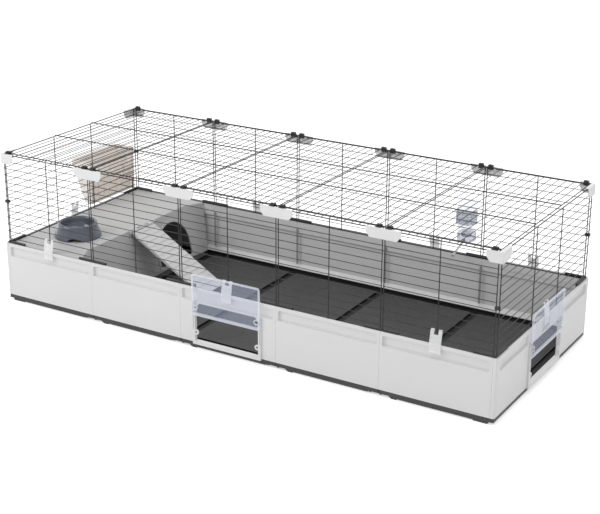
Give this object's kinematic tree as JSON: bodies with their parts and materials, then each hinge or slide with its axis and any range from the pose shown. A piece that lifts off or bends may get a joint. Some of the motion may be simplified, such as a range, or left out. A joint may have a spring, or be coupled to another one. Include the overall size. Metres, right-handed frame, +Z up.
{
  "type": "rodent cage",
  "caption": "Long low modular rodent cage: floor trays, plastic walls, wire mesh sides and hinged wire lids, sliding doors, hide house, ramp, bowl, hay rack and bottle.",
  "frame": {"origin": "on the floor under the middle foot of the middle tray, at the middle of the walls in length and depth", "axes": "+X along the cage to its right end as seen from the front, +Y to the back, +Z up"},
  "size_m": [1.8685, 0.798, 0.5205],
  "materials": {
    "tray_plastic": "satin",
    "wall_plastic": "satin",
    "door_clear": "clear gloss",
    "black_wire": "satin enamel",
    "black_clip": "satin",
    "latch_clear": "milky gloss",
    "house_grey": "satin",
    "bowl_blue": "gloss",
    "rack_beige": "satin",
    "holder_blue": "gloss",
    "bottle_clear": "clear gloss",
    "spout_steel": "polished"
  },
  "bodies": {
    "root": {"back_mesh_panels": "black_wire", "back_wall_1": "wall_plastic", "back_wall_2": "wall_plastic", "back_wall_3": "wall_plastic", "back_wall_4": "wall_plastic", "back_wall_5": "wall_plastic", "bottle_holder": "holder_blue", "corner_caps": "wall_plastic", "corner_mesh_clips": "black_clip", "corner_posts": "wall_plastic", "edge_caps": "wall_plastic", "floor_tray_1": "tray_plastic", "floor_tray_2": "tray_plastic", "floor_tray_3": "tray_plastic", "floor_tray_4": "tray_plastic", "floor_tray_5": "tray_plastic", "front_door_frame": "wall_plastic", "front_door_wall": "wall_plastic", "front_mesh_panels": "black_wire", "front_wall_1": "wall_plastic", "front_wall_2": "wall_plastic", "front_wall_4": "wall_plastic", "front_wall_5": "wall_plastic", "hay_rack": "rack_beige", "hide_house": "house_grey", "left_mesh_panel": "black_wire", "left_wall": "wall_plastic", "lid_hinge_clips": "black_clip", "right_door_frame": "wall_plastic", "right_door_wall": "wall_plastic", "right_mesh_panel": "black_wire", "rim_clips": "black_clip", "rim_corner_clips": "black_clip"},
    "front_door": {"front_door": "door_clear"},
    "right_door": {"right_door": "door_clear"},
    "lid_1": {"roof_lid_1": "black_wire", "lid_clips_1": "black_clip"},
    "lid_2": {"roof_lid_2": "black_wire", "lid_clips_2": "black_clip"},
    "lid_3": {"roof_lid_3": "black_wire", "lid_clips_3": "black_clip"},
    "lid_4": {"roof_lid_4": "black_wire", "lid_clips_4": "black_clip"},
    "lid_5": {"roof_lid_5": "black_wire", "lid_clips_5": "black_clip"},
    "latch_back_1": {"latch_back_1": "latch_clear"},
    "latch_back_2": {"latch_back_2": "latch_clear"},
    "latch_back_3": {"latch_back_3": "latch_clear"},
    "latch_front_1": {"latch_front_1": "latch_clear"},
    "latch_front_2": {"latch_front_2": "latch_clear"},
    "latch_front_3": {"latch_front_3": "latch_clear"},
    "latch_left": {"latch_left": "latch_clear"},
    "latch_right": {"latch_right": "latch_clear"},
    "ramp": {"ramp": "house_grey"},
    "bowl": {"feed_bowl": "bowl_blue"},
    "bottle": {"water_bottle": "bottle_clear", "bottle_cap": "holder_blue", "bottle_spout": "spout_steel"},
    "ball": {"spout_ball": "spout_steel"}
  },
  "joints": [
    {"name": "front_door_slide", "type": "slide", "parent": "root", "child": "front_door", "axis": [0, 0, 1], "range_m": [-0.084, 0.042]},
    {"name": "right_door_slide", "type": "slide", "parent": "root", "child": "right_door", "axis": [0, 0, 1], "range_m": [-0.084, 0.042]},
    {"name": "lid_1_hinge", "type": "hinge", "parent": "root", "child": "lid_1", "pos_m": [-0.7, 0.345, 0.511], "axis": [-1, 0, 0], "range_deg": [0, 110]},
    {"name": "lid_2_hinge", "type": "hinge", "parent": "root", "child": "lid_2", "pos_m": [-0.35, 0.345, 0.511], "axis": [-1, 0, 0], "range_deg": [0, 110]},
    {"name": "lid_3_hinge", "type": "hinge", "parent": "root", "child": "lid_3", "pos_m": [0, 0.345, 0.511], "axis": [-1, 0, 0], "range_deg": [0, 110]},
    {"name": "lid_4_hinge", "type": "hinge", "parent": "root", "child": "lid_4", "pos_m": [0.35, 0.345, 0.511], "axis": [-1, 0, 0], "range_deg": [0, 110]},
    {"name": "lid_5_hinge", "type": "hinge", "parent": "root", "child": "lid_5", "pos_m": [0.7, 0.345, 0.511], "axis": [-1, 0, 0], "range_deg": [0, 110]},
    {"name": "latch_front_1_swing", "type": "hinge", "parent": "root", "child": "latch_front_1", "pos_m": [-0.7, -0.3522, 0.2432], "axis": [-1, 0, 0], "range_deg": [0, 90]},
    {"name": "latch_front_2_swing", "type": "hinge", "parent": "root", "child": "latch_front_2", "pos_m": [0, -0.3522, 0.2432], "axis": [-1, 0, 0], "range_deg": [0, 2.6]},
    {"name": "latch_front_3_swing", "type": "hinge", "parent": "root", "child": "latch_front_3", "pos_m": [0.7, -0.3522, 0.2432], "axis": [-1, 0, 0], "range_deg": [0, 90]},
    {"name": "latch_back_1_swing", "type": "hinge", "parent": "root", "child": "latch_back_1", "pos_m": [-0.35, 0.3522, 0.2432], "axis": [1, 0, 0], "range_deg": [0, 90]},
    {"name": "latch_back_2_swing", "type": "hinge", "parent": "root", "child": "latch_back_2", "pos_m": [0.35, 0.3522, 0.2432], "axis": [1, 0, 0], "range_deg": [0, 90]},
    {"name": "latch_back_3_swing", "type": "hinge", "parent": "root", "child": "latch_back_3", "pos_m": [0.7, 0.3522, 0.2432], "axis": [1, 0, 0], "range_deg": [0, 90]},
    {"name": "latch_left_swing", "type": "hinge", "parent": "root", "child": "latch_left", "pos_m": [-0.8812, 0, 0.2432], "axis": [0, 1, 0], "range_deg": [0, 90]},
    {"name": "latch_right_swing", "type": "hinge", "parent": "root", "child": "latch_right", "pos_m": [0.8812, 0, 0.2432], "axis": [0, -1, 0], "range_deg": [0, 2.6]},
    {"name": "ramp_hinge", "type": "hinge", "parent": "root", "child": "ramp", "pos_m": [-0.604, 0.02, 0.196], "axis": [0, -1, 0], "range_deg": [0, 50]},
    {"name": "bowl_lift", "type": "slide", "parent": "root", "child": "bowl", "axis": [0, 0, 1], "range_m": [0, 0.2]},
    {"name": "bottle_pull", "type": "slide", "parent": "root", "child": "bottle", "axis": [0, 0.9552, 0.2961], "range_m": [0, 0.12]},
    {"name": "ball_push", "type": "slide", "parent": "bottle", "child": "ball", "axis": [0, 0.9552, 0.2961], "range_m": [0, 0.0015]}
  ]
}
